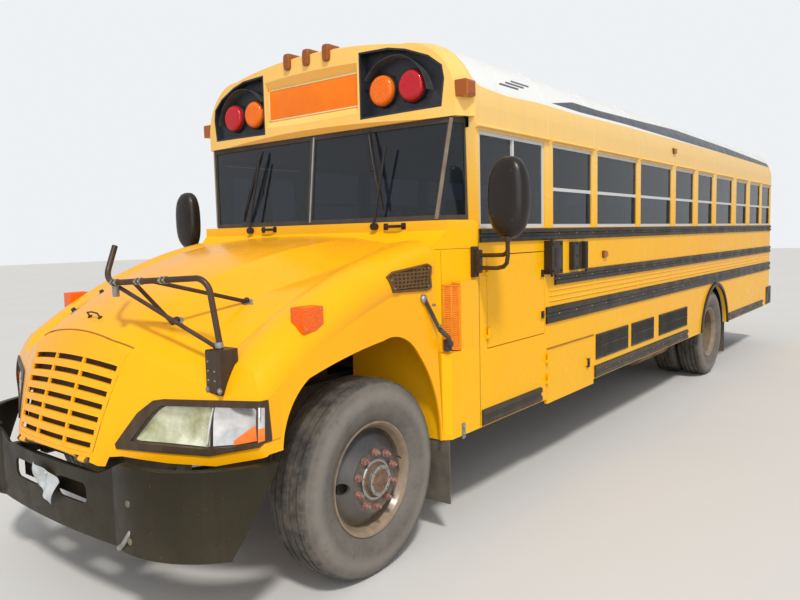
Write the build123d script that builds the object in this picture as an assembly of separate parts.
from build123d import *
import math
import os

# Conventional full-size school bus, retired, modelled as it parks on its wheels.
# X is across the bus with the driver's side positive, Y runs to the rear and Z is up.
# While it is built, Y counts from the front axle. save() moves it to the middle of the length.
# A pair named _Y or _Z holds low and high. Shapes are drawn on the left and mirrored.

# Overall layout
WHEELBASE = 6350
HALF_WIDTH = 1219
FRONT_BUMPER_Y = -1125
REAR_BUMPER_Y = 9610
ROW_ORIGIN_Y = (FRONT_BUMPER_Y + REAR_BUMPER_Y) / 2
WALL = 45
SKIRT_Z = 580
FLOOR_Z = 980
SILL_Z = 1810
WINDOW_TOP_Z = 2395
EAVE_Z = 2410
COWL_FRONT_Y = 600
WALL_FRONT_Y = 950
BODY_REAR_Y = 9490
GAP = 6
RUNNING = 0.3
SEAT_FIT = 0.3
GLASS_T = 6
HALF_ROOT = math.sqrt(0.5)

# Roof section: height of the shoulder, inner end of the corner, crown
SHOULDER_Z = 2545
CORNER_X = 755
CORNER_Z = 2960
ROOF_Z = 3050

# Wheels and tyres
TYRE_R = 520
TYRE_W = 279
AXLE_Z = TYRE_R
RIM_R = 299
BEAD_R = 286
WELL_R = 268
RIM_W = 222
RIM_WALL = 9
DISC_THICK = 14
DISC_DISH = 95
DISC_FLAT_R = 172
HAND_HOLE_R = 30
HAND_HOLE_PCR = 212
HUB_BORE_R = 92
HUB_R = 120
HUB_CAP_R = 78
WHEEL_X = 1045
FRONT_OFFSET = 118
REAR_OFFSET = 155
DRUM_R = 205
DRUM_W = 120
DRUM_WALL = 16
SPINDLE_R = 40
SPINDLE_END_X = 1120
REAR_STUB_X = 1040
KINGPIN_X = 915
KINGPIN_R = 20
AXLE_TUBE_R = 68

# Frame rails
RAIL_X = 430
RAIL_Z = (640, 880)
RAIL_FLANGE = 75
RAIL_T = 9
RAIL_Y = (-960, 9400)
CROSSMEMBERS = (-900, 1420, 2300, 3900, 5400, 7300, 8800)
CROSSMEMBER_W = 90
FRONT_SPRING_X = 405
REAR_SPRING_X = 472
SPRING_HALF_W = 38

# Hood shell, with its hinge behind the lower lip of the grille
HOOD_T = 12
HOOD_REAR_Y = 575
HOOD_BOTTOM_Z = 590
HINGE_Y = -1095
HINGE_Z = 761
HINGE_X = 300
HINGE_PIN_R = 9
HINGE_BOSS_R = 13
HINGE_LUG_HALF = 28
HINGE_EAR_X = (34, 52)
HINGE_NOTCH_X = 62
# Hood sections: y, crown z, then x and z of the dome, the valley, the shoulder and the side, foot x
HOOD_SECTIONS = (
    (600, 1787, 560, 1768, 810, 1738, 985, 1752, 1150, 1560, 1200),
    (-350, 1612, 390, 1585, 690, 1478, 900, 1440, 1140, 1250, 1200),
    (-750, 1437, 330, 1405, 560, 1315, 860, 1180, 1150, 1040, 1200),
    (-1150, 1150, 300, 1120, 500, 1020, 860, 800, 1150, 720, 1200),
)
# Nose in plan: z, nose y, corner x, corner y, outer x, outer y
NOSE_PLANS = (
    (560, -1168, 350, -1140, 1140, -730),
    (800, -1112, 375, -1086, 1140, -735),
    (1070, -1032, 415, -998, 1130, -735),
    (1330, -925, 450, -878, 1100, -560),
    (1800, -780, 470, -720, 1080, -250),
)
# Lower edge of the nose and fender fronts: y, z
HOOD_LIP = (
    (-1300, 782),
    (-1112, 782),
    (-1095, 758),
    (-1080, 746),
    (-1064, 746),
    (-1050, 790),
    (-1020, 796),
    (-983, 787),
    (-925, 776),
    (-823, 774),
    (-758, 810),
    (-710, 838),
    (-560, 838),
)
# Wheel arch in the fender, from its front foot: y, z of each arc's middle and end
ARCH_START = (-640, 500)
FENDER_ARCH = (
    ((-632, 760),),
    ((-560, 1010), (-430, 1125)),
    ((-150, 1188), (120, 1228)),
    ((300, 1212), (400, 1120)),
    ((505, 940), (562, 600)),
    ((562, 500),),
)
# Grille panel and its rows of slots
GRILLE_TOP_Z = 1331
GRILLE_SIDE_TOP = (440, 1268)
GRILLE_SIDE_LOW = (372, 800)
GRILLE_SLOTS = 7
GRILLE_SLOT_Z = (832, 1178)
GRILLE_SLOT_H = 27
GRILLE_SLOT_RISE = 26
GRILLE_EDGE = 26
GRILLE_TIE_X = (127, 143)
# Headlamp housing and lens on the left fender: x, z
BEZEL = (
    (485, 852),
    (576, 996),
    (642, 1053),
    (687, 1061),
    (1155, 1075),
    (1172, 1056),
    (1172, 898),
    (1150, 875),
    (925, 821),
    (709, 824),
    (493, 831),
)
LENS = (
    (559, 870),
    (648, 1000),
    (685, 1032),
    (1135, 1046),
    (1143, 1034),
    (1147, 900),
    (1029, 870),
    (893, 853),
    (586, 863),
)
# Vent on the side of the hood: y, z
VENT = (
    (165, 1558),
    (205, 1476),
    (500, 1466),
    (545, 1476),
    (540, 1598),
    (505, 1612),
    (210, 1580),
)
TURN_LAMP = ((1040, 1120), (-425, -305), (1335, 1447))

# Windows on each side: front edge, rear edge
DRIVER_WINDOW = (970, 1830)
SIDE_WINDOWS = (
    (1960, 2640),
    (2755, 3636),
    (3745, 4620),
    (4770, 5390),
    (5566, 6160),
    (6330, 7080),
    (7306, 7878),
    (8080, 8710),
    (8850, 9400),
)
SASH_BAR_Z = 2080
SASH_W = 24
SASH_T = 26
SASH_INSET = 9
REAR_PANE_X = (560, 1090)
REAR_PANE_Z = (1760, 2350)

# Cowl and corner posts
COWL_TOP_Z = 1860
COWL_T = 30
COWL_CORNER_X = 1095
COWL_CORNER_Z = 1090
COWL_SHELF_Z = 1690
COWL_SHELF_Y = 735
POST_X = 1130
POST_Y = (930, 965)
INTAKE = ((1100, 1219), (753, 945), (1090, 1500))
INTAKE_SLOTS = 6

# Windshield in plan, from the centre to the corner post to the side post: x, y
SHIELD_LOW = ((0, 735), (1040, 770), (1165, 925))
SHIELD_HIGH = ((0, 800), (1120, 830), (1152, 925))
SHIELD_Z = (COWL_TOP_Z, 2469)
SHIELD_T = 30
SHIELD_EDGE_Z = 32
SHIELD_EDGES = (20, 16)

# Front cap: y, half width, bottom z, shoulder z, corner x, corner z, crown z
CAP_SECTIONS = (
    (765, 1115, 2505, 2600, 785, 2925, 2998),
    (800, 1140, 2470, 2588, 778, 2940, 3014),
    (930, 1219, 2470, 2545, 755, 2960, 3050),
)
CAP_FRONT_Y = 765
CAP_BOW = (1300, 837)
# Opening of the left lamp box: x, z
LAMP_BOX = (
    (454, 2518),
    (454, 2937),
    (686, 2931),
    (813, 2904),
    (975, 2842),
    (1068, 2772),
    (1082, 2693),
    (1061, 2531),
)
LAMP_BOX_DEPTH = 95
LAMP_BOX_T = 12
SIGN_X = 434
SIGN_Z = (2608, 2835)
SIGN_DEPTH = 42
SIGN_BEVEL = (6, 110)
FLASHER_R = 95
FLASHER_OUT = 62
FLASHER_Z = 2684
FLASHERS = ((608, "amber"), (843, "red"))
CLEARANCE_X = (0, 185, -185)
CLEARANCE_LAMP = ((-22, 22), (752, 850), (2930, 3034))
CAP_MARKER = ((1150, 1243), (822, 915), (2578, 2672))
# Side markers: y, z. Tail lamps: x, z, radius, colour
SIDE_MARKERS = ((2895, 1585), (4690, 2560))
TAIL_LAMPS = (
    (1060, 1560, 88, "red"),
    (1060, 1350, 88, "amber"),
    (1060, 1190, 50, "red"),
    (590, 2640, 88, "amber"),
    (850, 2640, 88, "red"),
)

# Doors and hatches
ENTRY_Y = (995, 1831)
ENTRY_Z = (440, 2370)
ENTRY_PANES = ((620, 1290), (1400, 2290))
ENTRY_STILE = 50
LEAF_T = 36
REAR_DOOR_X = 430
REAR_DOOR_Z = (990, 2330)
REAR_DOOR_T = 40
REAR_DOOR_PANES = ((1130, 1560), (1700, 2250))
REAR_DOOR_PANE_X = 330
REAR_HANDLE = ((220, 360), (BODY_REAR_Y, BODY_REAR_Y + 40), (1560, 1590))
BATTERY_Y = (1850, 2690)
BATTERY_Z = (545, 948)
BATTERY_LATCH = ((HALF_WIDTH, HALF_WIDTH + 12), (2530, 2585), (715, 760))
ELECTRIC_Y = (1040, 1820)
ELECTRIC_Z = (1060, 1645)
ELECTRIC_LATCH_Y = (1745, 1800)
ELECTRIC_LATCH_Z = (1200, 1490)
DOOR_T = 22
HATCH_Y = (2900, 7400)
HATCH_SIZE = 600
HATCH_CURB = 25
HATCH_CURB_H = 20
HATCH_LID_H = 52

# Door hinges, outside the body panels
HINGE_OUT = 14
HINGE_EDGE = 10
HINGE_REACH = 30
HINGE_STRAP = 3
HINGE_LEAF_H = 40
HINGE_EAR_H = 20
HINGE_KNUCKLE_R = 9
DOOR_PIN_R = 5
ENTRY_HINGE_Z = (700, 1320, 2150)
ELECTRIC_HINGE_Z = (1150, 1540)
BATTERY_HINGE_Z = (720, 870)
REAR_HINGE_Z = (1080, 1620, 2220)

# Side trim: rub rails by z low, z high, start y, end y
ARCH_R = 565
FLARE_W = 36
FLARE_OUT = 22
RAIL_OUT = 16
RAIL_GROOVE = 6
RUB_RAILS = (
    (1720, 1806, 960, 9480),
    (1392, 1488, 1976, 9480),
    (1122, 1246, 1836, 9480),
    (585, 688, 2700, 5225),
    (585, 688, 7010, 9030),
)
FRONT_SKIRT_RAIL = (585, 688, 966, 1757)
SKIRT_GRILLES = ((2727, 3440), (3530, 4120), (4280, 5200))
SKIRT_GRILLE_Z = (735, 940)
SKIRT_SLATS = 6
STOP_BOX = ((HALF_WIDTH, HALF_WIDTH + 62), (1817, 1989), (1480, 1714))
STOP_POSTS = ((2225, 2367), (2436, 2496))
STOP_POST_OUT = 34
STOP_POST_Z = (1490, 1700)

# Floor, wheel boxes and stepwell
FLOOR_THICK = 60
FLOOR_TOE = (COWL_CORNER_X, COWL_FRONT_Y + 100)
FLOOR_BOWS = 13
FLOOR_BOW_Y0 = 950
FLOOR_BOW_PITCH = 700
FLOOR_BOW_W = 60
WHEELHOUSE_X = 545
WHEELHOUSE_Y = (5740, 6960)
WHEELHOUSE_Z = 1165
WHEELHOUSE_T = 10
TRAY_X = 700
TRAY_Z = 565
TRAY_T = 12
STEPS = 3
STEP_X = 520
STEP_OUT = LEAF_T + 6
STEP_T = 12
TREAD_T = 25
STEP_BOTTOM_Z = 400

# Seats
SEAT_PITCH = 700
SEAT_ROWS = 10
SEAT_Y0 = 2250
SEAT_X = (215, 1160)
SEAT_DEPTH = 400
CUSHION_Z = (1330, 1430)
BACK_TOP_Z = 1990
BACK_T = 80
BACK_LEAN = 60
SEAT_LEG_X = (275, 305)
SEAT_LEG_W = 30
SEAT_LEG_AT = (40, 350)
# Driver's seat, seen from the side: y, z
DRIVER_SEAT = (
    (1500, 1370),
    (2000, 1370),
    (2080, 2060),
    (1990, 2060),
    (1925, 1470),
    (1500, 1470),
)
DRIVER_SEAT_X = (250, 740)
DRIVER_PEDESTAL = ((400, 600), (1650, 1850), (FLOOR_Z, 1370))

# Bumpers
BUMPER_T = 12
BUMPER_LIP = 28
BUMPER_BEND = (560, -1098)
BUMPER_CORNER = (1060, -960)
BUMPER_END = (1215, -672)
BUMPER_Z = (410, 806)
BUMPER_CENTRE_Z = 725
BUMPER_NOTCH_X = (450, 640)
BUMPER_END_CUT = ((-900, 400), (-680, 822), (-600, 822), (-600, 400))
BUMPER_SLOTS = ((-370, -110), (90, 350))
BUMPER_SLOT_Z = (560, 660)
BUMPER_SLOT_R = 35
BUMPER_BACK = ((-415, 415), (-1052, -1040), (540, 690))
BUMPER_MOUNT = ((RAIL_X - 20, RAIL_X + 20), (-1095, RAIL_Y[0]), (655, 720))
REAR_BUMPER_Z = (595, 860)
REAR_BUMPER_OUT = 8
REAR_BUMPER_WRAP_Y = 9280
REAR_BUMPER_MOUNT = ((RAIL_X - 30, RAIL_X + 30), (RAIL_Y[1], REAR_BUMPER_Y - 6), (700, 800))

# Driveline, tank and exhaust, as blocks of x, y, z pairs and tubes
ENGINE = ((-300, 300), (-430, 560), (700, 1330))
ENGINE_MOUNT = ((300, RAIL_X - RAIL_T), (-260, -180), (760, 820))
RADIATOR = ((-345, 345), (-600, -530), (760, 1340))
RADIATOR_LEG = ((345, 400), (-600, -530), (RAIL_Z[1], 900))
GEARBOX = ((-190, 190), (560, 1350), (600, 850))
SHAFT_R = 48
TANK = ((-330, 330), (7460, 8660), (560, 860))
TANK_STRAPS = (7600, 8400)
MUFFLER_X = 800
MUFFLER_Y = (4650, 5560)
MUFFLER_Z = 470
MUFFLER_R = 130
PIPE_R = 50
PIPE_Y0 = 4000
TAIL_PIPE_X = 550
TAIL_PIPE_Y = (7000, 9560)
TAIL_PIPE_Z = 500
HANGERS = (4800, 5400)
TAIL_HANGERS = (7100, 8900)

# Dash and steering wheel: shelf seen from the side as y, z
DASH_SHELF = ((765, 1600), (765, 1815), (900, 1805), (1060, 1700), (1080, 1560))
DASH_X = 1100
STEERING_HUB = (500, 1265, 1760)
STEERING_FOOT = (500, 1050, 1640)
STEERING_TILT = (0, 0.87, 0.49)
STEERING_R = 225

# Fittings
MIRROR_X = 1498
MIRROR_Y = 812
MIRROR_Z = {"left": 1975, "right": 1936}
MIRROR_SIZE = (248, 458, 110)
MIRROR_CORNER_R = 112
MIRROR_EDGE_R = 42
MIRROR_PLATE = ((HALF_WIDTH - 30, HALF_WIDTH + 14), (885, 945), (1520, 1700))
MIRROR_ARM_R = 13
FRAME_TUBE = ((930, -755, 1270), (915, -800, 1610), (300, -935, 1580), (265, -850, 1755))
FRAME_RADII = (70, 80)
FRAME_TUBE_R = 14
FRAME_STRUT_R = 10
FRAME_STRUTS = (
    ((900, -750, 1290), (380, -905, 1560)),
    ((500, -680, 1345), (470, -880, 1580)),
    ((690, -400, 1460), (590, -860, 1590)),
)
FRAME_BRACKET = ((885, 975), (-800, -700), (1090, 1290))
# Wipers: x of the base, x of the tip
WIPERS = ((-596, -500), (596, 680))
WIPER_Z = (1835, 2330)
WIPER_BASE_R = 22
WIPER_ARM_R = 8
FRONT_FLAP = ((1040, 1215), (COWL_FRONT_Y + 8, COWL_FRONT_Y + 18), (200, SKIRT_Z))
REAR_FLAP = ((600, 1170), (7010, 7020), (180, FLOOR_Z - FLOOR_THICK))


def box(x0, x1, y0, y1, z0, z1):
    """Block between two corners, in any order."""
    size = (abs(x1 - x0), abs(y1 - y0), abs(z1 - z0))
    return Pos((x0 + x1) / 2, (y0 + y1) / 2, (z0 + z1) / 2) * Box(*size)


def block(spans):
    """Block from its x, y and z pairs."""
    x_span, y_span, z_span = spans
    return box(*x_span, *y_span, *z_span)


def flip(shape):
    """The same shape on the other side of the bus."""
    return shape.mirror(Plane.YZ)


def both(shape):
    """A shape and its mirror image, as one list."""
    return [shape, flip(shape)]


def merged(first, *others):
    """One shape joined from several."""
    for shape in others:
        first = first + shape
    return first


def rod(start, end, radius):
    """Round bar between two points."""
    line = Vector(*end) - Vector(*start)
    low_end = (Align.CENTER, Align.CENTER, Align.MIN)
    return Plane(origin=start, z_dir=line) * Cylinder(radius, line.length, align=low_end)


def tube_path(points, radii, radius):
    """Bent round tube along straight runs joined by arcs."""
    path = FilletPolyline(*points, radius=radii)
    start = Vector(*points[0])
    profile = Plane(origin=start, z_dir=Vector(*points[1]) - start) * Circle(radius)
    return sweep(profile, path=path)


def outline(start, *legs):
    """Closed face from a start point; a leg holds its end, or the middle and end of an arc."""
    edges = []
    here = start
    for leg in legs:
        if len(leg) == 2:
            edges.append(ThreePointArc(here, *leg))
        else:
            edges.append(Line(here, leg[0]))
        here = leg[-1]
    if here != start:
        edges.append(Line(here, start))
    return make_face(edges)


def polygon(points):
    """Closed face from its corners."""
    return make_face(Polyline(*points, close=True))


def pull_x(face, x0, x1):
    """Face of (y, z) points pulled along X."""
    return Pos(x0, 0, 0) * extrude(Plane.YZ * face, x1 - x0)


def pull_y(face, y0, y1):
    """Face of (x, z) points pulled along Y."""
    return Pos(0, y1, 0) * extrude(Plane.XZ * face, y1 - y0)


def pull_z(face, z0, z1):
    """Face of (x, y) points pulled along Z."""
    return Pos(0, 0, z0) * extrude(face, z1 - z0)


def save(node, *shapes):
    """Write one node, moved so that the row's origin is under the middle of the bus."""
    solids = []
    for shape in shapes:
        solids.extend(shape if isinstance(shape, (list, tuple)) else [shape])
    flat = [solid for shape in solids for solid in shape.solids()]
    whole = flat[0] if len(flat) == 1 else Compound(children=flat)
    whole = Pos(0, -ROW_ORIGIN_Y, 0) * whole
    whole.label = node
    export_step(whole, f"parts/{node}.step")


def hinge_y(x, y, z, reach):
    """Door hinge on the left: the knuckle on the side of reach, and the fixed ear with its pin."""
    face = x - HINGE_OUT
    top = z + HINGE_LEAF_H
    near = y + reach * HINGE_EDGE
    far = y + reach * HINGE_REACH
    moving = box(face, x, near, far, z, top)
    moving = moving + box(x - HINGE_STRAP, x + HINGE_STRAP, y, far, z, top)
    moving = moving + rod((x, y, z), (x, y, top), HINGE_KNUCKLE_R)
    moving = moving - rod((x, y, z - 1), (x, y, top + 1), DOOR_PIN_R + RUNNING)
    seat = z - RUNNING
    low = seat - HINGE_EAR_H
    near = y - reach * HINGE_EDGE
    far = y - reach * HINGE_REACH
    fixed = box(face, x, near, far, low, seat)
    fixed = fixed + box(x - HINGE_STRAP, x + HINGE_STRAP, y, far, low, seat)
    fixed = fixed + rod((x, y, low), (x, y, seat), HINGE_KNUCKLE_R)
    fixed = fixed + rod((x, y, low), (x, y, top), DOOR_PIN_R)
    return moving, fixed


def side_hinges(y, heights, reach, half):
    """One half of all the hinges of a side door."""
    return [hinge_y(HALF_WIDTH + HINGE_OUT, y, z, reach)[half] for z in heights]


def rear_hinges(half):
    """One half of all the hinges of the rear door."""
    place = Pos(-REAR_DOOR_X, BODY_REAR_Y, 0) * Rot(0, 0, 90)
    return [place * hinge_y(HINGE_OUT, 0, z, -1)[half] for z in REAR_HINGE_Z]


def hood_section(row, inset):
    """One closed cross-section of the hood and fenders."""
    y, crown, dome_x, dome_z, valley_x, valley_z, shoulder_x, shoulder_z, side_x, side_z, foot_x = row
    foot = (foot_x - inset, HOOD_BOTTOM_Z - 60)
    side = (side_x - inset, side_z - inset)
    shoulder = (shoulder_x - inset / 2, shoulder_z - inset)
    bulge = ((side[0] * 2 + shoulder[0]) / 3 + 32, (side[1] + shoulder[1] * 2) / 3 + 8)
    valley_z = valley_z - inset
    dome_z = dome_z - inset
    face = outline(
        foot,
        [side],
        [bulge, shoulder],
        [(valley_x, valley_z)],
        [(dome_x, dome_z)],
        [(0, crown - inset), (-dome_x, dome_z)],
        [(-valley_x, valley_z)],
        [(-shoulder[0], shoulder[1])],
        [(-bulge[0], bulge[1]), (-side[0], side[1])],
        [(-foot[0], foot[1])],
    )
    return Pos(0, y, 0) * (Plane.XZ * face)


def nose_plan(row, inset):
    """One closed plan outline of the hood at a height."""
    z, nose_y, corner_x, corner_y, outer_x, outer_y = row
    corner = (corner_x, corner_y + inset)
    outer = (outer_x - inset / 2, outer_y + inset)
    side = (HALF_WIDTH - 15 - inset, outer_y + 90)
    bend = (outer[0] * 0.3 + side[0] * 0.7, outer[1] * 0.6 + side[1] * 0.4)
    face = outline(
        (-corner[0], corner[1]),
        [(0, nose_y + inset), corner],
        [outer],
        [bend, side],
        [(side[0], HOOD_REAR_Y)],
        [(-side[0], HOOD_REAR_Y)],
        [(-side[0], side[1])],
        [(-bend[0], bend[1]), (-outer[0], outer[1])],
    )
    return Pos(0, 0, z) * face


def hood_form(inset):
    """Solid form of the hood, smaller by the inset all over."""
    along = loft([hood_section(row, inset) for row in HOOD_SECTIONS])
    upward = loft([nose_plan(row, inset) for row in NOSE_PLANS])
    return along & upward


def grille_region(grow):
    """Prism through the nose that holds the grille panel."""
    side_x, side_z = GRILLE_SIDE_TOP
    low_x, low_z = GRILLE_SIDE_LOW
    face = outline(
        (-side_x - grow, side_z),
        [(0, GRILLE_TOP_Z + grow), (side_x + grow, side_z)],
        [(low_x + grow, low_z - grow)],
        [(-low_x - grow, low_z - grow)],
    )
    return pull_y(face, -1300, -700)


def grille_slots():
    """Rows of arched slots with two upright ties left between them."""
    pitch = (GRILLE_SLOT_Z[1] - GRILLE_SLOT_Z[0]) / (GRILLE_SLOTS - 1)
    side_x, side_z = GRILLE_SIDE_TOP
    low_x, low_z = GRILLE_SIDE_LOW
    slots = []
    for i in range(GRILLE_SLOTS):
        z = GRILLE_SLOT_Z[0] + i * pitch
        reach = low_x + (side_x - low_x) * (z - low_z) / (side_z - low_z) - GRILLE_EDGE
        low = z - GRILLE_SLOT_H / 2
        top = z + GRILLE_SLOT_H / 2
        rise = GRILLE_SLOT_RISE * (i + 1) / GRILLE_SLOTS
        face = outline(
            (-reach, low),
            [(0, low + rise), (reach, low)],
            [(reach, top)],
            [(0, top + rise), (-reach, top)],
        )
        slots.append(pull_y(face, -1300, -700))
    tie = box(*GRILLE_TIE_X, -1300, -700, 700, 1400)
    return [slot - tie - flip(tie) for slot in slots]


def lamp_region(points):
    """Prism along Y through the front of the left fender."""
    return pull_y(polygon(points), -1200, -640)


def hinge_lug(x, outer):
    """Bored lug of the hood's hinge, hung from the lip of the nose."""
    x0 = x - HINGE_LUG_HALF
    x1 = x + HINGE_LUG_HALF
    stem = box(x0, x1, HINGE_Y - 5, HINGE_Y + HOOD_T, HINGE_Z, GRILLE_SIDE_LOW[1] - 2)
    stem = stem & (outer + box(x0, x1, HINGE_Y - 5, HINGE_Y + HOOD_T, HINGE_Z, HINGE_Z + 6))
    lug = stem + rod((x0, HINGE_Y, HINGE_Z), (x1, HINGE_Y, HINGE_Z), HINGE_BOSS_R)
    return lug - rod((x0 - 5, HINGE_Y, HINGE_Z), (x1 + 5, HINGE_Y, HINGE_Z), HINGE_PIN_R + RUNNING)


def make_hood():
    """Hood shell with its fenders, grille panel, headlamps and vents."""
    outer = hood_form(0)
    inner = hood_form(HOOD_T)
    skin = outer - inner
    shell = skin - box(-1300, 1300, -1300, 700, 300, HOOD_BOTTOM_Z)
    arch = pull_x(outline(ARCH_START, *FENDER_ARCH), 700, 1300)
    lip = polygon([(HOOD_LIP[0][0], 300), *HOOD_LIP, (HOOD_LIP[-1][0], 300)])
    shell = shell - arch - flip(arch) - pull_x(lip, -1300, 1300)
    housing = lamp_region(BEZEL)
    shell = shell - housing - flip(housing) - grille_region(1.5)
    vent = pull_x(polygon(VENT), 900, 1300)
    shell = shell - vent - flip(vent)
    for x in (-HINGE_X, HINGE_X):
        shell = shell - box(x - HINGE_NOTCH_X, x + HINGE_NOTCH_X, -1200, -1060, 700, HINGE_Z + 20)
        shell = shell + hinge_lug(x, outer)
    save("hood", shell)

    panel = skin & grille_region(0)
    for slot in grille_slots():
        panel = panel - slot
    save("grille", panel)

    lens = lamp_region(LENS)
    ring = (hood_form(-8) - hood_form(HOOD_T + 30)) & (lamp_region(BEZEL) - lens)
    save("headlamp_bezels", both(ring))
    save("headlamps", both((hood_form(2) - hood_form(60)) & lens))

    vent_face = offset(polygon(VENT), -SEAT_FIT)
    save("hood_vents", both((hood_form(-4) - inner) & pull_x(vent_face, 900, 1300)))
    clear = hood_form(-SEAT_FIT)
    save("turn_lamps", both(block(TURN_LAMP) - clear))

    frame = tube_path(FRAME_TUBE, FRAME_RADII, FRAME_TUBE_R)
    for start, end in FRAME_STRUTS:
        frame = frame + rod(start, end, FRAME_STRUT_R)
    save("mirror_frames", frame + block(FRAME_BRACKET) - clear)


def roof_face(half, z0, shoulder_z, corner_x, corner_z, crown_z):
    """Closed cross-section of the body from z0 up, as (x, z) points."""
    bend_x = corner_x + (half - corner_x) * HALF_ROOT
    bend_z = shoulder_z + (corner_z - shoulder_z) * HALF_ROOT
    return outline(
        (half, z0),
        [(half, shoulder_z)],
        [(bend_x, bend_z), (corner_x, corner_z)],
        [(0, crown_z), (-corner_x, corner_z)],
        [(-bend_x, bend_z), (-half, shoulder_z)],
        [(-half, z0)],
    )


def body_section(inset, z0, y0, y1):
    """Body cross-section above z0, pulled from y0 to y1."""
    face = roof_face(HALF_WIDTH - inset, z0, SHOULDER_Z, CORNER_X, CORNER_Z - inset, ROOF_Z - inset)
    return pull_y(face, y0, y1)


def make_walls():
    """Side walls with their window and door openings, and the rear wall."""
    x0 = HALF_WIDTH - WALL
    x1 = HALF_WIDTH
    cut = (x0 - 60, x1 + 10)
    rear_y = BODY_REAR_Y - WALL
    panel = box(x0, x1, WALL_FRONT_Y, rear_y, SKIRT_Z, EAVE_Z)
    panel = panel + box(x0, x1, POST_Y[0], WALL_FRONT_Y, COWL_TOP_Z, EAVE_Z)
    panel = panel + box(POST_X, x1, *POST_Y, COWL_TOP_Z, EAVE_Z)
    panel = panel - rod((cut[0], WHEELBASE, AXLE_Z), (cut[1], WHEELBASE, AXLE_Z), ARCH_R)
    for y0, y1 in SIDE_WINDOWS:
        panel = panel - box(*cut, y0, y1, SILL_Z, WINDOW_TOP_Z)
    left = panel - box(*cut, *DRIVER_WINDOW, SILL_Z, WINDOW_TOP_Z)
    left = left - box(*cut, *ELECTRIC_Y, *ELECTRIC_Z)
    left = left - box(*cut, *BATTERY_Y, SKIRT_Z - 10, BATTERY_Z[1])
    left = merged(
        left,
        *side_hinges(ELECTRIC_Y[0], ELECTRIC_HINGE_Z, 1, 1),
        *side_hinges(BATTERY_Y[0], BATTERY_HINGE_Z, 1, 1),
    )
    save("side_wall_left", left)

    right = panel - box(*cut, *ENTRY_Y, SKIRT_Z - 10, ENTRY_Z[1])
    right = merged(
        right,
        *side_hinges(ENTRY_Y[0], ENTRY_HINGE_Z, 1, 1),
        *side_hinges(ENTRY_Y[1], ENTRY_HINGE_Z, -1, 1),
    )
    save("side_wall_right", flip(right))

    through = (rear_y - 10, BODY_REAR_Y + 10)
    rear = body_section(0, REAR_BUMPER_Z[1] - 40, rear_y, BODY_REAR_Y)
    rear = rear - box(-REAR_DOOR_X, REAR_DOOR_X, *through, *REAR_DOOR_Z)
    pane = box(*REAR_PANE_X, *through, *REAR_PANE_Z)
    rear = rear - pane - flip(pane)
    save("rear_wall", merged(rear, *rear_hinges(1)))


def make_roof():
    """Roof shell with the curbs of its two hatches."""
    roof_y = (POST_Y[0], BODY_REAR_Y - WALL)
    roof = body_section(0, EAVE_Z, *roof_y)
    roof = roof - body_section(WALL, EAVE_Z - 10, roof_y[0] - 10, roof_y[1] + 10)
    half = HATCH_SIZE / 2
    for y in HATCH_Y:
        curb_y = (y - HATCH_CURB, y + HATCH_SIZE + HATCH_CURB)
        curb_x = half + HATCH_CURB
        roof = roof + box(-curb_x, curb_x, *curb_y, ROOF_Z - WALL, ROOF_Z + HATCH_CURB_H)
        roof = roof - box(-half, half, y, y + HATCH_SIZE, ROOF_Z - 200, ROOF_Z + 100)
    save("roof", roof)


def cap_form():
    """Solid form of the front cap, bowed in plan."""
    sections = [Pos(0, row[0], 0) * (Plane.XZ * roof_face(*row[1:])) for row in CAP_SECTIONS]
    bow_x, bow_y = CAP_BOW
    ahead = outline((-bow_x, 600), [(-bow_x, bow_y)], [(0, CAP_FRONT_Y), (bow_x, bow_y)], [(bow_x, 600)])
    return loft(sections, ruled=True) - pull_z(ahead, 2400, 3100)


def sign_recess():
    """Bevelled recess for the sign plate."""
    middle_z = (SIGN_Z[0] + SIGN_Z[1]) / 2
    high = SIGN_Z[1] - SIGN_Z[0]
    front = Plane.XZ * (Pos(0, middle_z) * Rectangle(2 * SIGN_X + SIGN_BEVEL[0], high + SIGN_BEVEL[1]))
    back = Plane.XZ * (Pos(0, middle_z) * Rectangle(2 * SIGN_X, high))
    return loft([Pos(0, CAP_FRONT_Y - 1, 0) * front, Pos(0, CAP_FRONT_Y + SIGN_DEPTH, 0) * back])


def make_cap():
    """Front roof cap with the sign recess and lamp boxes."""
    form = cap_form()
    back_y = CAP_FRONT_Y + LAMP_BOX_DEPTH
    recess = pull_y(polygon(LAMP_BOX), CAP_FRONT_Y - 40, back_y)
    cap = form - body_section(WALL, 2400, back_y + 25, 1000)
    cap = cap - recess - flip(recess) - sign_recess()
    save("front_cap", cap)
    hollow = pull_y(offset(polygon(LAMP_BOX), -LAMP_BOX_T), CAP_FRONT_Y - 50, back_y - LAMP_BOX_T)
    save("lamp_hoods", both((recess & form) - hollow))
    return cap


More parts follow.
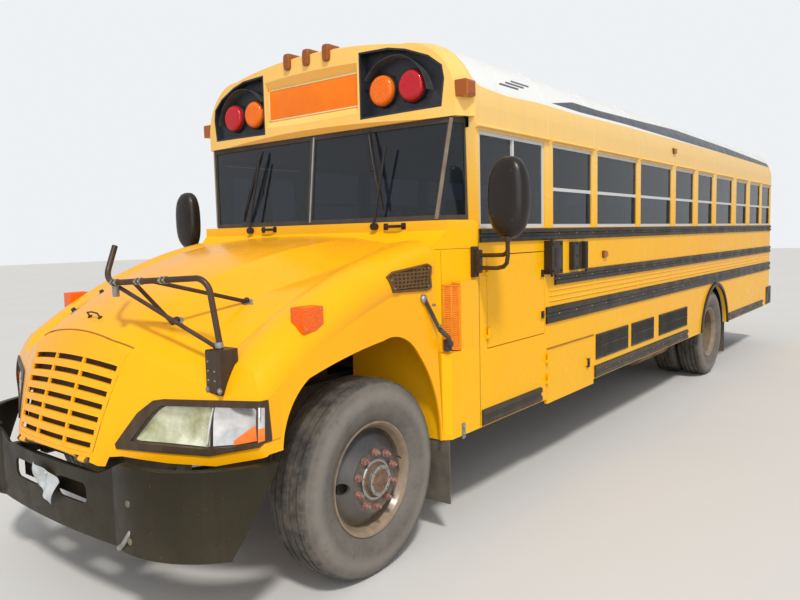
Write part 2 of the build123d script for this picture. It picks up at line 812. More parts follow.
def make_lamps(cap):
    """Flashers, clearance lamps, side markers and tail lamps, by lens colour."""
    lamps = {"amber": [], "red": []}
    seat_y = CAP_FRONT_Y + LAMP_BOX_DEPTH - LAMP_BOX_T
    for x, colour in FLASHERS:
        lens = rod((x, seat_y, FLASHER_Z), (x, seat_y - FLASHER_OUT, FLASHER_Z), FLASHER_R)
        rim = lens.edges().filter_by(GeomType.CIRCLE).sort_by(Axis.Y)[0]
        lamps[colour].extend(both(fillet(rim, 30)))
    clearance = fillet(block(CLEARANCE_LAMP).edges().group_by(Axis.Y)[0], 18)
    for x in CLEARANCE_X:
        lamps["amber"].append(Pos(x, 0, 0) * clearance - cap)
    marker = fillet(block(CAP_MARKER).edges().group_by(Axis.X)[-1], 20)
    lamps["amber"].extend(both(marker - cap))
    for y, z in SIDE_MARKERS:
        side = box(HALF_WIDTH, HALF_WIDTH + 22, y - 35, y + 35, z - 22, z + 22)
        lamps["amber"].extend(both(side))
    for x, z, radius, colour in TAIL_LAMPS:
        lens = rod((x, BODY_REAR_Y, z), (x, BODY_REAR_Y + 34, z), radius)
        lamps[colour].extend(both(lens))
    save("amber_lamps", lamps["amber"])
    save("red_lamps", lamps["red"])


def cowl_form():
    """Solid form of the cowl, its upper corners slanted in plan."""
    foot_x = HALF_WIDTH - 40
    foot_y = COWL_FRONT_Y + 40
    plan = polygon([
        (-HALF_WIDTH, WALL_FRONT_Y),
        (-HALF_WIDTH, foot_y),
        (-foot_x, COWL_FRONT_Y),
        (foot_x, COWL_FRONT_Y),
        (HALF_WIDTH, foot_y),
        (HALF_WIDTH, WALL_FRONT_Y),
    ])
    corner = pull_z(polygon([
        (COWL_CORNER_X, COWL_FRONT_Y - 10),
        (COWL_CORNER_X, COWL_FRONT_Y),
        (HALF_WIDTH, WALL_FRONT_Y),
        (HALF_WIDTH + 10, WALL_FRONT_Y),
        (HALF_WIDTH + 10, COWL_FRONT_Y - 10),
    ]), COWL_CORNER_Z, COWL_TOP_Z + 10)
    return pull_z(plan, SKIRT_Z, COWL_TOP_Z) - corner - flip(corner)


def make_cowl():
    """Cowl between hood and windshield, with the dash behind it and the air intake at its corner."""
    form = cowl_form()
    t = COWL_T
    inner_x = COWL_CORNER_X - 22
    wide_x = HALF_WIDTH - t - 1
    inner = polygon([
        (-wide_x, WALL_FRONT_Y + 10),
        (-inner_x, COWL_FRONT_Y + t),
        (inner_x, COWL_FRONT_Y + t),
        (wide_x, WALL_FRONT_Y + 10),
    ])
    front = (COWL_FRONT_Y, COWL_SHELF_Z)
    back = (COWL_SHELF_Y, COWL_SHELF_Z + 110)
    above = polygon([(500, COWL_SHELF_Z), front, back, (COWL_SHELF_Y, 1900), (500, 1900)])
    shelf = polygon([
        front,
        back,
        (COWL_SHELF_Y, COWL_TOP_Z),
        (COWL_SHELF_Y + t, COWL_TOP_Z),
        (COWL_SHELF_Y + t, COWL_SHELF_Z + 100),
        (COWL_FRONT_Y + t, COWL_SHELF_Z - 10),
    ])
    cowl = form - pull_z(inner, SKIRT_Z - 10, COWL_TOP_Z - t)
    cowl = cowl - pull_x(above, -1300, 1300)
    cowl = cowl + (pull_x(shelf, -HALF_WIDTH, HALF_WIDTH) & form)
    tunnel_x = RAIL_X + 60
    cowl = cowl - box(-tunnel_x, tunnel_x, 500, 700, 500, 1250)
    save("cowl", cowl)

    hub = Plane(origin=STEERING_HUB, z_dir=STEERING_TILT)
    dash = pull_x(polygon(DASH_SHELF), -DASH_X, DASH_X)
    dash = dash + rod(STEERING_FOOT, STEERING_HUB, 28)
    dash = dash + hub * (Torus(STEERING_R, 15) + Cylinder(45, 40)) + hub * Box(2 * STEERING_R - 10, 32, 14)
    save("dash", dash)
    return form


def between(a, b, share):
    """Point part of the way between two plan points."""
    return (a[0] + (b[0] - a[0]) * share, a[1] + (b[1] - a[1]) * share)


def shield_slab(low, high, z0, z1, front, back):
    """Leaning slab between two plan lines, from one depth to another."""
    faces = []
    for (start, end), z in ((low, z0), (high, z1)):
        run = Vector(*end) - Vector(*start)
        normal = Vector(-run.Y, run.X).normalized()
        corners = [
            Vector(*start) + normal * front,
            Vector(*end) + normal * front,
            Vector(*end) + normal * back,
            Vector(*start) + normal * back,
        ]
        faces.append(Pos(0, 0, z) * polygon([(corner.X, corner.Y) for corner in corners]))
    return loft(faces)


def shield_part(index, x_edge, z_edge, front, back):
    """One leaning panel of the windshield, drawn in from its edges."""
    low = (SHIELD_LOW[index], SHIELD_LOW[index + 1])
    high = (SHIELD_HIGH[index], SHIELD_HIGH[index + 1])
    z0, z1 = SHIELD_Z
    rise = z_edge / (z1 - z0)
    cut = x_edge / math.dist(*low)
    ends_low = (between(*low, cut), between(*low, 1 - cut))
    ends_high = (between(*high, cut), between(*high, 1 - cut))
    low_line = [between(a, b, rise) for a, b in zip(ends_low, ends_high)]
    high_line = [between(a, b, 1 - rise) for a, b in zip(ends_low, ends_high)]
    return shield_slab(low_line, high_line, z0 + z_edge, z1 - z_edge, front, back)


def make_windshield():
    """Frame of two main and two corner panels; returns their panes."""
    frames = []
    panes = []
    behind = box(-1300, 1300, POST_Y[0], 1100, COWL_TOP_Z - 10, EAVE_Z + 100)
    for index, edge in enumerate(SHIELD_EDGES):
        whole = shield_part(index, 0, 0, 0, SHIELD_T)
        opening = shield_part(index, edge, SHIELD_EDGE_Z, -10, SHIELD_T + 10)
        pane = shield_part(index, edge, SHIELD_EDGE_Z, 8, 8 + GLASS_T)
        frames.extend(both(whole - opening - behind))
        panes.extend(both(pane - behind))
    frame = merged(*frames)
    save("windshield_frame", frame)
    return [pane - frame for pane in panes]


def sash(y0, y1, upright):
    """Frame of one side window on the left wall, and its two panes."""
    x1 = HALF_WIDTH - SASH_INSET
    x0 = x1 - SASH_T
    fit = SEAT_FIT
    half = SASH_W / 2
    middle = (y0 + y1) / 2
    inner_y = (y0 + SASH_W, y1 - SASH_W)
    inner_z = (SILL_Z + SASH_W, WINDOW_TOP_Z - SASH_W)
    if upright:
        holes = (
            (inner_y[0], middle - half, *inner_z, 6),
            (middle + half, inner_y[1], *inner_z, 14),
        )
    else:
        holes = (
            (*inner_y, inner_z[0], SASH_BAR_Z - half, 6),
            (*inner_y, SASH_BAR_Z + half, inner_z[1], 14),
        )
    frame = box(x0, x1, y0 + fit, y1 - fit, SILL_Z + fit, WINDOW_TOP_Z - fit)
    panes = []
    for ya, yb, za, zb, depth in holes:
        frame = frame - box(x0 - 5, x1 + 5, ya, yb, za, zb)
        face = x0 + depth
        panes.append(box(face, face + GLASS_T, ya + fit, yb - fit, za + fit, zb - fit))
    return frame, panes


def make_side_windows(shield_panes):
    """Sashes of all side windows, and every fixed pane of the body."""
    frames = []
    panes = list(shield_panes)
    for window in SIDE_WINDOWS:
        frame, glass = sash(*window, False)
        frames.extend(both(frame))
        for pane in glass:
            panes.extend(both(pane))
    frame, glass = sash(*DRIVER_WINDOW, True)
    frames.append(frame)
    panes.extend(glass)
    x0, x1 = REAR_PANE_X
    z0, z1 = REAR_PANE_Z
    fit = SEAT_FIT
    pane_y = BODY_REAR_Y - 25
    panes.extend(both(box(x0 + fit, x1 - fit, pane_y, pane_y + GLASS_T, z0 + fit, z1 - fit)))
    save("window_sashes", frames)
    save("body_glass", panes)


def rub_rail(z0, z1, y0, y1):
    """Double-ribbed rub rail on the left wall."""
    middle = (z0 + z1) / 2
    rib = (z1 - z0) * 0.16
    x0 = HALF_WIDTH
    x1 = HALF_WIDTH + RAIL_OUT
    groove = HALF_WIDTH + RAIL_GROOVE
    profile = polygon([
        (x0, z0),
        (x1, z0 + rib / 2),
        (x1, middle - rib),
        (groove, middle - rib / 2),
        (groove, middle + rib / 2),
        (x1, middle + rib),
        (x1, z1 - rib / 2),
        (x0, z1),
    ])
    return pull_y(profile, y0, y1)


def slatted_plate(y0, y1):
    """Skirt grille plate with a row of long slats."""
    z0, z1 = SKIRT_GRILLE_Z
    plate = box(HALF_WIDTH, HALF_WIDTH + 8, y0, y1, z0, z1)
    pitch = (z1 - z0 - 30) / SKIRT_SLATS
    for i in range(SKIRT_SLATS):
        z = z0 + 15 + pitch * (i + 0.5)
        slat_z = (z - pitch * 0.3, z + pitch * 0.3)
        plate = plate - box(HALF_WIDTH + 3, HALF_WIDTH + 20, y0 + 20, y1 - 20, *slat_z)
    return plate


def make_side_trim(cowl):
    """Rub rails, wheel-arch flares, skirt grilles, stop-arm box and air intake."""
    rails = [rub_rail(*row) for row in RUB_RAILS]
    y, z = WHEELBASE, AXLE_Z
    flare = rod((HALF_WIDTH, y, z), (HALF_WIDTH + FLARE_OUT, y, z), ARCH_R + FLARE_W)
    flare = flare - rod((1200, y, z), (1300, y, z), ARCH_R)
    flare = flare - box(1200, 1300, 5000, 8000, -200, SKIRT_Z)
    stop_clear = box(1200, 1300, STOP_BOX[1][0] - 6, STOP_POSTS[1][1] + 20, 1470, 1720)
    entry_clear = box(1200, 1300, ENTRY_Y[0] - 25, ENTRY_Y[1] + 40, 300, 2500)
    left = [rail - stop_clear - flare for rail in rails]
    right = [flip(rail - entry_clear - flare) for rail in rails]
    save("rub_rails", left, rub_rail(*FRONT_SKIRT_RAIL), right, both(flare))
    posts = [
        box(HALF_WIDTH, HALF_WIDTH + STOP_POST_OUT, y0, y1, *STOP_POST_Z)
        for y0, y1 in STOP_POSTS
    ]
    intake = block(INTAKE) - cowl
    x_span, y_span, z_span = INTAKE
    pitch = (z_span[1] - z_span[0]) / INTAKE_SLOTS
    for i in range(INTAKE_SLOTS):
        z = z_span[0] + pitch * (i + 0.5)
        intake = intake - box(x_span[0], x_span[1] - 12, y_span[0] - 1, y_span[0] + 10, z - 20, z + 20)
    save("skirt_grilles", [slatted_plate(y0, y1) for y0, y1 in SKIRT_GRILLES], intake)
    save("stop_arm_box", block(STOP_BOX), posts)


def make_floor():
    """Floor with its cross bows, rear wheel boxes and battery tray."""
    x_in = HALF_WIDTH - WALL
    under = FLOOR_Z - FLOOR_THICK
    rail_top = RAIL_Z[1]
    half_plan = [
        FLOOR_TOE,
        (x_in - 2, POST_Y[0] - 5),
        (x_in, POST_Y[0]),
        (x_in, BODY_REAR_Y - WALL),
    ]
    plan = half_plan + [(-x, y) for x, y in reversed(half_plan)]
    floor = pull_z(polygon(plan), under, FLOOR_Z)
    for i in range(FLOOR_BOWS):
        y = FLOOR_BOW_Y0 + i * FLOOR_BOW_PITCH
        floor = floor + box(-x_in, x_in, y, y + FLOOR_BOW_W, rail_top, under)
    t = WHEELHOUSE_T
    y0, y1 = WHEELHOUSE_Y
    cover = box(WHEELHOUSE_X, x_in, y0, y1, rail_top, WHEELHOUSE_Z)
    hollow = box(WHEELHOUSE_X + t, x_in + 20, y0 + t, y1 - t, rail_top - 10, WHEELHOUSE_Z - t)
    floor = floor + cover + flip(cover) - hollow - flip(hollow)
    floor = floor - box(-x_in - 10, -STEP_X + STEP_T, *ENTRY_Y, rail_top - 50, FLOOR_Z + 10)
    tray = box(TRAY_X, x_in, *BATTERY_Y, TRAY_Z, TRAY_Z + TRAY_T)
    tray = tray + box(TRAY_X, TRAY_X + TRAY_T, *BATTERY_Y, TRAY_Z, under)
    save("body_floor", floor + tray)


def make_stepwell():
    """Entry steps between two cheek plates."""
    rise = (FLOOR_Z - STEP_BOTTOM_Z) / STEPS
    outer_x = -HALF_WIDTH + STEP_OUT
    run = (HALF_WIDTH - STEP_OUT - STEP_X) / STEPS
    y0, y1 = ENTRY_Y
    profile = [(outer_x, STEP_BOTTOM_Z)]
    well = []
    for i in range(STEPS):
        x = outer_x + i * run
        z = STEP_BOTTOM_Z + i * rise
        back = x + run + STEP_T
        top = FLOOR_Z if i == STEPS - 1 else z + rise + TREAD_T
        profile.extend([(back, z), (back, z + rise)])
        well.append(box(x, back, y0 + STEP_T, y1 - STEP_T, z, z + TREAD_T))
        well.append(box(x + run, back, y0 + STEP_T, y1 - STEP_T, z, top))
    profile.append((outer_x, FLOOR_Z))
    cheek = polygon(profile)
    well.append(pull_y(cheek, y0, y0 + STEP_T))
    well.append(pull_y(cheek, y1 - STEP_T, y1))
    save("stepwell", merged(*well))


def make_seats():
    """Bench seats in rows on both sides with their leg frames, and the driver's seat."""
    cushions = []
    frames = []
    base, top = CUSHION_Z
    x0, x1 = SEAT_LEG_X
    for row in range(SEAT_ROWS):
        y = SEAT_Y0 + row * SEAT_PITCH
        rear = y + SEAT_DEPTH
        profile = polygon([
            (y, base),
            (rear + BACK_T, base),
            (rear + BACK_T + BACK_LEAN, BACK_TOP_Z),
            (rear + BACK_LEAN + 10, BACK_TOP_Z),
            (rear + 10, top),
            (y, top),
        ])
        cushions.extend(both(pull_x(profile, *SEAT_X)))
        legs = [y + at for at in SEAT_LEG_AT]
        frame = box(x0, x1, legs[0], legs[1] + SEAT_LEG_W, FLOOR_Z, FLOOR_Z + 12)
        for leg in legs:
            frame = frame + box(x0, x1, leg, leg + SEAT_LEG_W, FLOOR_Z, base)
            frame = frame + box(x0, HALF_WIDTH - WALL, leg, leg + SEAT_LEG_W, base - 30, base)
        frames.extend(both(frame))
    save("seats", cushions, pull_x(polygon(DRIVER_SEAT), *DRIVER_SEAT_X))
    save("seat_frames", frames, block(DRIVER_PEDESTAL))


def bumper_band(depth):
    """Wrapped band in plan, as deep as given."""
    bend_x, bend_y = BUMPER_BEND
    corner_x, corner_y = BUMPER_CORNER
    end_x, end_y = BUMPER_END
    lean = depth * HALF_ROOT
    inner_corner = (corner_x - lean, corner_y + lean)
    inner_y = bend_y + depth
    return outline(
        (-bend_x, bend_y),
        [(0, FRONT_BUMPER_Y), (bend_x, bend_y)],
        [(corner_x, corner_y), (end_x, end_y)],
        [(end_x - depth, end_y)],
        [inner_corner, (bend_x, inner_y)],
        [(0, FRONT_BUMPER_Y + depth), (-bend_x, inner_y)],
        [(-inner_corner[0], inner_corner[1]), (-end_x + depth, end_y)],
        [(-end_x, end_y)],
        [(-corner_x, corner_y), (-bend_x, bend_y)],
    )


def make_bumpers():
    """Front wrap bumper with its flanges, and rear channel bumper."""
    z0, z1 = BUMPER_Z
    bumper = pull_z(bumper_band(BUMPER_T), z0, z1)
    flange = bumper_band(BUMPER_T + BUMPER_LIP)
    bumper = bumper + pull_z(flange, z1 - BUMPER_T, z1) + pull_z(flange, z0, z0 + BUMPER_T)
    low_x, high_x = BUMPER_NOTCH_X
    notch = polygon([
        (-low_x, BUMPER_CENTRE_Z),
        (low_x, BUMPER_CENTRE_Z),
        (high_x, z1 + 1),
        (-high_x, z1 + 1),
    ])
    end_cut = pull_x(polygon(BUMPER_END_CUT), 900, 1300)
    bumper = bumper - pull_y(notch, -1300, -900) - end_cut - flip(end_cut)
    slot_z = (BUMPER_SLOT_Z[0] + BUMPER_SLOT_Z[1]) / 2
    slot_h = BUMPER_SLOT_Z[1] - BUMPER_SLOT_Z[0]
    for x0, x1 in BUMPER_SLOTS:
        slot = Pos((x0 + x1) / 2, slot_z) * RectangleRounded(x1 - x0, slot_h, BUMPER_SLOT_R)
        bumper = bumper - pull_y(slot, -1300, -1090)
    bumper = merged(bumper, *both(block(BUMPER_MOUNT)), block(BUMPER_BACK))
    save("front_bumper", bumper)

    z0, z1 = REAR_BUMPER_Z
    t = BUMPER_T
    outer_x = HALF_WIDTH + REAR_BUMPER_OUT
    front_y = BODY_REAR_Y + REAR_BUMPER_OUT
    rear = box(-outer_x, outer_x, front_y, REAR_BUMPER_Y, z0, z1)
    inner_x = outer_x - t
    rear = rear - box(-inner_x, inner_x, front_y - 20, REAR_BUMPER_Y - t, z0 + t, z1 - t)
    wrap = box(HALF_WIDTH, outer_x, REAR_BUMPER_WRAP_Y, BODY_REAR_Y + 20, z0, z1)
    save("rear_bumper", merged(rear, *both(wrap), *both(block(REAR_BUMPER_MOUNT))))


def make_frame():
    """Frame rails with crossmembers and the hood's hinge brackets."""
    z0, z1 = RAIL_Z
    y0, y1 = RAIL_Y
    web = RAIL_X - RAIL_T
    rail = box(RAIL_X - RAIL_FLANGE, RAIL_X, y0, y1, z0, z1)
    rail = rail - box(RAIL_X - RAIL_FLANGE - 10, web, y0 - 10, y1 + 10, z0 + RAIL_T, z1 - RAIL_T)
    frame = rail + flip(rail)
    for y in CROSSMEMBERS:
        member = box(-web, web, y, y + CROSSMEMBER_W, z1 - 90, z1 - 20)
        frame = frame + member - box(-web, web, y + 8, y + CROSSMEMBER_W + 10, z1 - 82, z1 - 28)
    frame = frame + box(-web, web, y0, y0 + 10, 670, 850)
    arm = polygon([(y0, 690), (y0, 745), (HINGE_Y, HINGE_Z - 2), (HINGE_Y, HINGE_Z - HINGE_BOSS_R)])
    for x in (-HINGE_X, HINGE_X):
        for near, far in (HINGE_EAR_X, (-HINGE_EAR_X[1], -HINGE_EAR_X[0])):
            frame = frame + pull_x(arm, x + near, x + far)
            frame = frame + rod((x + near, HINGE_Y, HINGE_Z), (x + far, HINGE_Y, HINGE_Z), HINGE_BOSS_R)
        reach = HINGE_EAR_X[1] + 4
        frame = frame + rod((x - reach, HINGE_Y, HINGE_Z), (x + reach, HINGE_Y, HINGE_Z), HINGE_PIN_R)
    save("frame_rails", frame)


def leaf_spring(y_mid, half, z_mid, z_end, thick, x):
    """Arched leaf pack, thickest at its middle."""
    face = outline(
        (y_mid - half, z_end),
        [(y_mid, z_mid), (y_mid + half, z_end)],
        [(y_mid + half, z_end + thick)],
        [(y_mid, z_mid + thick * 2), (y_mid - half, z_end + thick)],
    )
    return pull_x(face, x - SPRING_HALF_W, x + SPRING_HALF_W)


def make_front_axle():
    """Beam axle with its kingpins and leaf springs."""
    beam_half = KINGPIN_X - 75
    beam = box(-beam_half, beam_half, -45, 45, 400, 500)
    for side in (-1, 1):
        beam = beam - box(-beam_half, beam_half, side * 12, side * 60, 425, 475)
    x = FRONT_SPRING_X
    spring = leaf_spring(0, 640, 500, 575, 22, x)
    for y in (-640, 600):
        spring = spring + box(x - SPRING_HALF_W, x + SPRING_HALF_W, y, y + 40, 575, RAIL_Z[0])
    end = box(KINGPIN_X - 120, KINGPIN_X, -36, 36, 470, 570)
    end = end + rod((KINGPIN_X, 0, 465), (KINGPIN_X, 0, 575), 42)
    end = end + rod((KINGPIN_X, 0, 405), (KINGPIN_X, 0, 635), KINGPIN_R)
    save("front_axle", merged(beam, *both(end), *both(spring)))


def make_rear_axle():
    """Rear axle tube with its differential bowl, stubs and leaf springs."""
    y = WHEELBASE
    axle = rod((-850, y, AXLE_Z), (850, y, AXLE_Z), AXLE_TUBE_R)
    axle = axle + Pos(0, y, AXLE_Z) * Sphere(190)
    axle = axle + rod((0, y - 330, AXLE_Z + 30), (0, y, AXLE_Z + 10), 90)
    axle = axle + rod((-REAR_STUB_X, y, AXLE_Z), (REAR_STUB_X, y, AXLE_Z), SPINDLE_R)
    x = REAR_SPRING_X
    x0 = x - SPRING_HALF_W
    x1 = x + SPRING_HALF_W
    spring = leaf_spring(y, 720, 588, 650, 24, x)
    for end in (y - 720, y + 680):
        spring = spring + box(RAIL_X, x1, end, end + 40, RAIL_Z[0], RAIL_Z[0] + 120)
    spring = spring + box(x0, x1, y - 60, y + 60, AXLE_Z, 600)
    save("rear_axle", merged(axle, *both(spring)))


def tyre(x):
    """Tyre ring about the axle line, centred at x."""
    half = TYRE_W / 2
    rim = RIM_W / 2
    wide_r = (RIM_R + TYRE_R) / 2 - 8
    face = outline(
        (-rim + 12, BEAD_R),
        [(rim - 12, BEAD_R)],
        [(rim - 8, RIM_R + 4)],
        [(half, wide_r), (half - 22, TYRE_R - 24)],
        [(half - 30, TYRE_R - 9), (half - 44, TYRE_R - 4)],
        [(0, TYRE_R), (-half + 44, TYRE_R - 4)],
        [(-half + 30, TYRE_R - 9), (-half + 22, TYRE_R - 24)],
        [(-half, wide_r), (-rim + 8, RIM_R + 4)],
    )
    return Pos(x, 0, AXLE_Z) * revolve(face, Axis.X)


def wheel(x, outward, face_offset):
    """Rim and disc centred at x, with the disc's face offset to the given side."""
    half = RIM_W / 2
    well_in = WELL_R - RIM_WALL
    rim = revolve(polygon([
        (-half, RIM_R),
        (-half, RIM_R - RIM_WALL),
        (-half + 12, BEAD_R - RIM_WALL),
        (-half + 40, well_in),
        (half - 40, well_in),
        (half - 12, BEAD_R - RIM_WALL),
        (half, RIM_R - RIM_WALL),
        (half, RIM_R),
        (half - 8, RIM_R),
        (half - 12, BEAD_R),
        (half - 40, WELL_R),
        (-half + 40, WELL_R),
        (-half + 12, BEAD_R),
        (-half + 8, RIM_R),
    ]), Axis.X)
    face = outward * face_offset
    back = face - outward * DISC_THICK
    root = outward * (face_offset - DISC_DISH)
    disc = revolve(polygon([
        (face, HUB_BORE_R),
        (face, DISC_FLAT_R),
        (root + outward * DISC_THICK, well_in + 1),
        (root, well_in + 1),
        (back, DISC_FLAT_R - 6),
        (back, HUB_BORE_R),
    ]), Axis.X)
    for side in (-HAND_HOLE_PCR, HAND_HOLE_PCR):
        disc = disc - rod((-300, side, 0), (300, side, 0), HAND_HOLE_R)
    return Pos(x, 0, AXLE_Z) * (rim + disc)


def axle_rod(x0, x1, radius):
    """Round bar along an axle line."""
    return rod((x0, 0, AXLE_Z), (x1, 0, AXLE_Z), radius)


def front_wheel():
    """Rim with its disc, hub and brake drum, bored for the spindle."""
    face = WHEEL_X + FRONT_OFFSET
    hub = axle_rod(KINGPIN_X + 75, face - DISC_THICK, HUB_R)
    hub = hub + axle_rod(face - DISC_THICK, face + 38, HUB_CAP_R)
    inner = KINGPIN_X + 50
    outer = inner + DRUM_W
    drum = axle_rod(inner, outer, DRUM_R) - axle_rod(inner - 10, outer - DISC_THICK, DRUM_R - DRUM_WALL)
    whole = wheel(WHEEL_X, 1, FRONT_OFFSET) + hub + drum
    return whole - axle_rod(inner - 65, SPINDLE_END_X + 4, SPINDLE_R + RUNNING)


def rear_wheels():
    """Two rims back to back with their hub and brake drum, bored for the axle stub."""
    face = WHEEL_X - REAR_OFFSET
    hub = axle_rod(face - 60, face + DISC_THICK + 60, HUB_R)
    hub = hub + axle_rod(face + DISC_THICK + 60, face + DISC_THICK + 110, HUB_CAP_R)
    drum = axle_rod(face - 170, face - 40, DRUM_R)
    drum = drum - axle_rod(face - 180, face - 54, DRUM_R - DRUM_WALL)
    twins = wheel(WHEEL_X, -1, REAR_OFFSET) + wheel(face - REAR_OFFSET, 1, REAR_OFFSET)
    whole = twins + hub + drum
    whole = whole - axle_rod(400, REAR_STUB_X + 4, SPINDLE_R + RUNNING)
    return whole - axle_rod(face - 200, face - 38, AXLE_TUBE_R + GAP)


def steering_knuckle():
    """Forked knuckle with its spindle and tie-rod arm."""
    x = KINGPIN_X
    yoke = box(x - 45, x + 45, -45, 45, 415, 625) - box(x - 90, x + 44, -60, 60, 460, 580)
    yoke = yoke + box(x + 44, x + 62, -70, 70, 415, 625)
    yoke = yoke - rod((x, 0, 400), (x, 0, 640), KINGPIN_R + RUNNING)
    arm = pull_z(polygon([(x + 40, 30), (x + 60, 60), (x - 60, 230), (x - 90, 215)]), 425, 450)
    return axle_rod(x + 50, SPINDLE_END_X, SPINDLE_R) + yoke + arm


def make_wheels():
    """Front wheels on their knuckles and rear twin wheels."""
    at_rear = Pos(0, WHEELBASE, 0)
    twin_x = WHEEL_X - 2 * REAR_OFFSET
    pieces = {
        "knuckle": [steering_knuckle()],
        "front_wheel": [front_wheel()],
        "front_tyre": [tyre(WHEEL_X)],
        "rear_wheels": [at_rear * rear_wheels()],
        "rear_tyres": [at_rear * tyre(WHEEL_X), at_rear * tyre(twin_x)],
    }
    for name, shapes in pieces.items():
        save(f"{name}_left", shapes)
        save(f"{name}_right", [flip(shape) for shape in shapes])


def make_driveline():
    """Engine block, radiator, transmission with its shaft, fuel tank and exhaust."""
    save("engine_block", block(ENGINE))
    save("radiator", merged(block(RADIATOR), *both(block(RADIATOR_LEG))))
    shaft_end = (0, WHEELBASE - 333, AXLE_Z + 30)
    shaft = rod((0, GEARBOX[1][1], 700), shaft_end, SHAFT_R)
    save("driveline", block(GEARBOX) + shaft, both(block(ENGINE_MOUNT)))

    tank = block(TANK)
    tank = fillet(tank.edges().filter_by(Axis.Y), 60)
    web = RAIL_X - RAIL_T
    top = TANK[2][1]
    straps = [box(-web, web, y, y + 40, top, top + 10) for y in TANK_STRAPS]
    save("fuel_tank", tank, straps)

    under = FLOOR_Z - FLOOR_THICK
    x = MUFFLER_X
    z = MUFFLER_Z
    y0, y1 = MUFFLER_Y
    silencer = rod((x, y0, z), (x, y1, z), MUFFLER_R) + rod((x, PIPE_Y0, z), (x, y0, z), PIPE_R)
    for y in HANGERS:
        silencer = silencer + box(x - 15, x + 15, y, y + 30, z + 120, under)
    x = TAIL_PIPE_X
    z = TAIL_PIPE_Z
    y0, y1 = TAIL_PIPE_Y
    tail = rod((x, y0, z), (x, y1, z), PIPE_R)
    for y in TAIL_HANGERS:
        tail = tail + box(x - 15, x + 15, y, y + 30, z + 40, under)
    save("exhaust", silencer, tail)


def entry_leaf(y0, y1, hinge, reach):
    """One entry door leaf on the left, and its panes."""
    x0 = HALF_WIDTH - LEAF_T
    x1 = HALF_WIDTH
    leaf = box(x0, x1, y0, y1, ENTRY_Z[0], ENTRY_Z[1] - GAP)
    panes = []
    pane_y = (y0 + ENTRY_STILE, y1 - ENTRY_STILE)
    face = x1 - 14
    for z0, z1 in ENTRY_PANES:
        leaf = leaf - box(x0 - 5, x1 + 5, *pane_y, z0, z1)
        panes.append(box(face - GLASS_T, face, *pane_y, z0, z1))
    return merged(leaf, *side_hinges(hinge, ENTRY_HINGE_Z, reach, 0)), panes


def make_doors():
    """Entry leaves, rear door, battery door and electrical door."""
    middle = (ENTRY_Y[0] + ENTRY_Y[1]) / 2
    spans = (
        ("front", ENTRY_Y[0] + GAP, middle - GAP / 2, ENTRY_Y[0], 1),
        ("rear", middle + GAP / 2, ENTRY_Y[1] - GAP, ENTRY_Y[1], -1),
    )
    for name, y0, y1, hinge, reach in spans:
        leaf, panes = entry_leaf(y0, y1, hinge, reach)
        save(f"entry_leaf_{name}", flip(leaf))
        save(f"entry_glass_{name}", [flip(pane) for pane in panes])

    z0, z1 = REAR_DOOR_Z
    half = REAR_DOOR_X - GAP
    door = box(-half, half, BODY_REAR_Y - REAR_DOOR_T, BODY_REAR_Y, z0 + GAP, z1 - GAP)
    glass = []
    pane_x = REAR_DOOR_PANE_X
    pane_y = BODY_REAR_Y - 24
    for z0, z1 in REAR_DOOR_PANES:
        door = door - box(-pane_x, pane_x, BODY_REAR_Y - 60, BODY_REAR_Y + 10, z0, z1)
        glass.append(box(-pane_x, pane_x, pane_y, pane_y + GLASS_T, z0, z1))
    save("rear_door", merged(door, block(REAR_HANDLE), *rear_hinges(0)))
    save("rear_door_glass", glass)

    x0 = HALF_WIDTH - DOOR_T
    y0, y1 = BATTERY_Y
    z0, z1 = BATTERY_Z
    battery = box(x0, HALF_WIDTH, y0 + GAP, y1 - GAP, z0, z1 - GAP)
    save("battery_door", merged(battery, block(BATTERY_LATCH), *side_hinges(y0, BATTERY_HINGE_Z, 1, 0)))
    y0, y1 = ELECTRIC_Y
    z0, z1 = ELECTRIC_Z
    door = box(x0, HALF_WIDTH, y0 + GAP, y1 - GAP, z0 + GAP, z1 - GAP)
    for z in ELECTRIC_LATCH_Z:
        door = door + box(HALF_WIDTH, HALF_WIDTH + 10, *ELECTRIC_LATCH_Y, z - 28, z + 28)
    save("electrical_door", merged(door, *side_hinges(y0, ELECTRIC_HINGE_Z, 1, 0)))


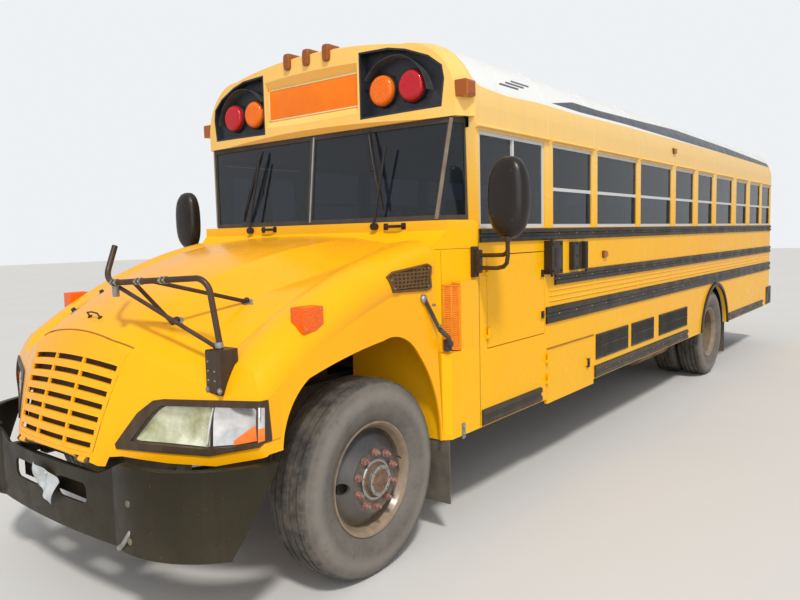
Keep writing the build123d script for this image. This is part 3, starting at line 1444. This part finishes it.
def make_hatches():
    """Lids of the two roof hatches, resting on their curbs."""
    outer = HATCH_SIZE / 2 + 40
    inner = HATCH_SIZE / 2 - 20
    curb_top = ROOF_Z + HATCH_CURB_H
    for name, y in zip(("front", "rear"), HATCH_Y):
        middle = y + HATCH_SIZE / 2
        lid = box(-outer, outer, middle - outer, middle + outer, curb_top + RUNNING, ROOF_Z + HATCH_LID_H)
        lid = lid - box(-inner, inner, middle - inner, middle + inner, ROOF_Z, ROOF_Z + HATCH_LID_H - 14)
        save(f"roof_hatch_{name}", lid)


def rear_view_mirror(z, cowl):
    """Mirror head on its bent arm and the plate on the cowl, on the left."""
    wide, high, deep = MIRROR_SIZE
    head = extrude(Plane.XZ * RectangleRounded(wide, high, MIRROR_CORNER_R), deep)
    rims = head.edges().group_by(Axis.Y)
    head = fillet(rims[0] + rims[-1], MIRROR_EDGE_R)
    head = Pos(MIRROR_X, MIRROR_Y + deep / 2, z) * head
    low = z - high / 2
    path = (
        (HALF_WIDTH + 4, 915, 1610),
        (1345, 885, 1590),
        (MIRROR_X, MIRROR_Y, 1610),
        (MIRROR_X, MIRROR_Y, low + 40),
    )
    arm = tube_path(path, (40, 50), MIRROR_ARM_R)
    return head + arm + block(MIRROR_PLATE) - cowl


def make_fittings(cowl):
    """Mirrors, wipers and mud flaps."""
    left = rear_view_mirror(MIRROR_Z["left"], cowl)
    right = rear_view_mirror(MIRROR_Z["right"], cowl)
    save("rear_view_mirrors", left, flip(right))
    wipers = []
    z0, z1 = WIPER_Z
    for x, tip in WIPERS:
        base = rod((x, COWL_SHELF_Y, z0), (x, COWL_SHELF_Y - 35, z0), WIPER_BASE_R)
        arm = rod((x, COWL_SHELF_Y - 27, z0), (tip, COWL_SHELF_Y + 10, z1), WIPER_ARM_R)
        wipers.append(base + arm)
    save("wipers", wipers)
    save("mud_flaps", both(block(FRONT_FLAP)), both(block(REAR_FLAP)))


if __name__ == "__main__":
    os.makedirs("parts", exist_ok=True)
    make_frame()
    make_front_axle()
    make_rear_axle()
    make_wheels()
    make_driveline()
    make_walls()
    make_roof()
    make_lamps(make_cap())
    cowl = make_cowl()
    make_side_trim(cowl)
    make_side_windows(make_windshield())
    make_floor()
    make_stepwell()
    make_seats()
    make_bumpers()
    make_doors()
    make_hatches()
    make_hood()
    make_fittings(cowl)
